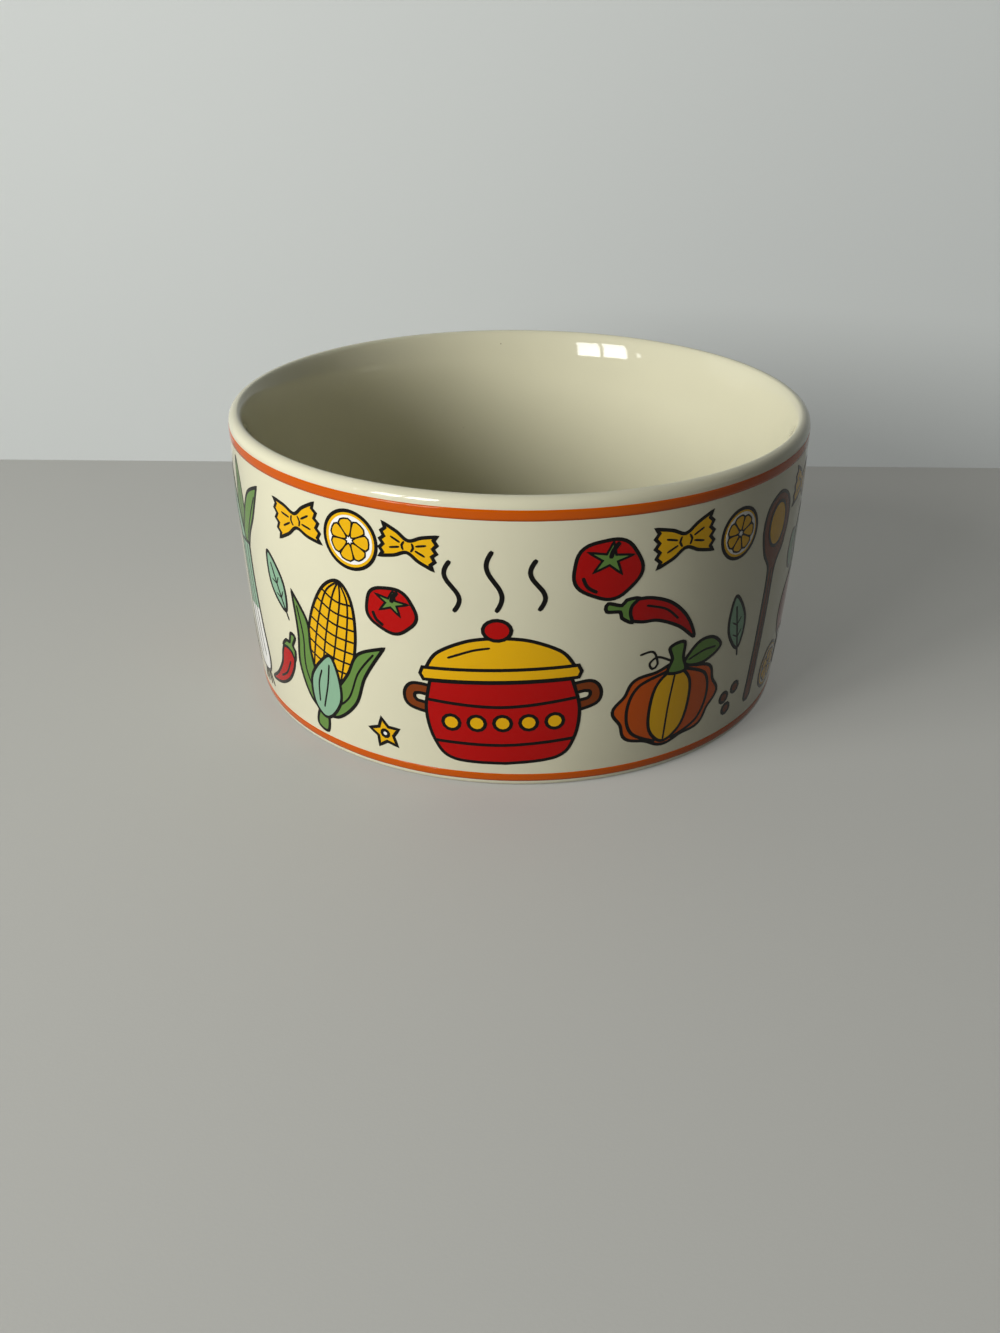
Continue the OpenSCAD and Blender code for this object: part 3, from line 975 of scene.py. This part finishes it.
def close_set(points, closed):
    """The same line with points close enough together to follow the wall."""
    result = []
    for i, here in enumerate(points):
        result.append(here)
        if not closed and i == len(points) - 1:
            break
        there = points[(i + 1) % len(points)]
        steps = math.ceil(math.dist(here, there) / point_gap)
        result += [tuple(p + (q - p) * k / steps for p, q in zip(here, there))
                   for k in range(1, steps)]
    return [p for i, p in enumerate(result) if not i or math.dist(p, result[i - 1]) > least_gap]


def slab(sheet, corners, faces, lift):
    """Adds a flat shape to a sheet of ink: its face, its back in the glaze and its edge."""
    points, skin = sheet
    start, count = len(points), len(corners)
    for height in (lift, -ink_depth):
        points += [on_mug(s, z, height) for s, z in corners]
    used = set()
    for face in faces:
        used |= set(zip(face, face[1:] + face[:1]))
        skin.append([start + k for k in face])
        skin.append([start + count + k for k in reversed(face)])
    skin += [[start + b, start + a, start + count + a, start + count + b]
             for a, b in used if (b, a) not in used]


def add_area(sheet, outline, lift):
    """Adds a filled area, cut into small triangles that follow the wall."""
    low_s, low_z = (min(p[k] for p in outline) for k in (0, 1))
    high_s, high_z = (max(p[k] for p in outline) for k in (0, 1))
    grid = [(low_s + cell_s * (i + 0.5), low_z + cell_z * (j + 0.5))
            for i in range(int((high_s - low_s) / cell_s))
            for j in range(int((high_z - low_z) / cell_z))]
    count = len(outline)
    inside_only, same_point = 1, 1e-4
    found = geometry.delaunay_2d_cdt([Vector(p) for p in outline + grid],
                                     [(i, (i + 1) % count) for i in range(count)], [],
                                     inside_only, same_point)
    used = sorted({k for face in found[2] for k in face})
    place = {k: i for i, k in enumerate(used)}
    slab(sheet, [tuple(found[0][k]) for k in used],
         [[place[k] for k in face] for face in found[2]], lift)


def add_line(sheet, points, width, closed, lift):
    """Adds a pen line, which is a little thinner at its ends."""
    count = len(points)
    corners = []
    for i, here in enumerate(points):
        at_end = not closed and i in (0, count - 1)
        before = Vector(here) - Vector(points[i - 1] if closed or i else here)
        after = Vector(points[(i + 1) % count] if closed or i < count - 1 else here) - Vector(here)
        along = (before.normalized() + after.normalized()).normalized()
        bend = max(pen_bend, along.dot(before.normalized() if before.length else along))
        half = width / 2 * (pen_taper if at_end else 1 / bend)
        across = Vector((-along.y, along.x)) * half
        corners += [tuple(Vector(here) + across), tuple(Vector(here) - across)]
    spans = count if closed else count - 1
    faces = [[2 * i, 2 * i + 1, (2 * i + 3) % (2 * count), (2 * i + 2) % (2 * count)]
             for i in range(spans)]
    slab(sheet, corners, faces, lift)


# Each ink: its colour, and how far its screen has slipped along and up
inks = {
    "yellow": ((0.67, 0.37, 0.002, 1), (0.16, -0.1)),
    "orange": ((0.49, 0.075, 0.001, 1), (-0.12, 0.08)),
    "red": ((0.37, 0.001, 0.0005, 1), (0.1, 0.14)),
    "brown": ((0.17, 0.033, 0.003, 1), (-0.1, -0.1)),
    "green": ((0.106, 0.21, 0.044, 1), (0.08, -0.14)),
    "mint": ((0.21, 0.37, 0.245, 1), (-0.15, 0.05)),
    "white": ((0.74, 0.74, 0.70, 1), (0.1, 0.05)),
    "black": ((0.003, 0.0025, 0.002, 1), (0, 0)),
}

sheets = {ink: ([], []) for ink in inks}
for motif, turn, height, lean, size in layout:
    across = print_r * math.radians(turn)
    for ink, layer, points, width, closed in motif():
        slip_s, slip_z = inks[ink][1]
        points = close_set(moved(points, across + slip_s, height + slip_z, lean, size), closed)
        lift = ink_lift + ink_step * (layer + 0.5)
        if width is None:
            add_area(sheets[ink], points, lift)
        else:
            add_line(sheets[ink], points, width, closed, lift)
for ink, (points, faces) in sheets.items():
    mesh = bpy.data.meshes.new(ink + "_ink")
    mesh.from_pydata(points, [], faces)
    mesh.materials.append(glaze_material(
        ink + "_transfer", inks[ink][0], ink_roughness, ink_gloss))
    print_piece = finished_piece(ink + "_ink", mesh)
    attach(print_piece, "root")
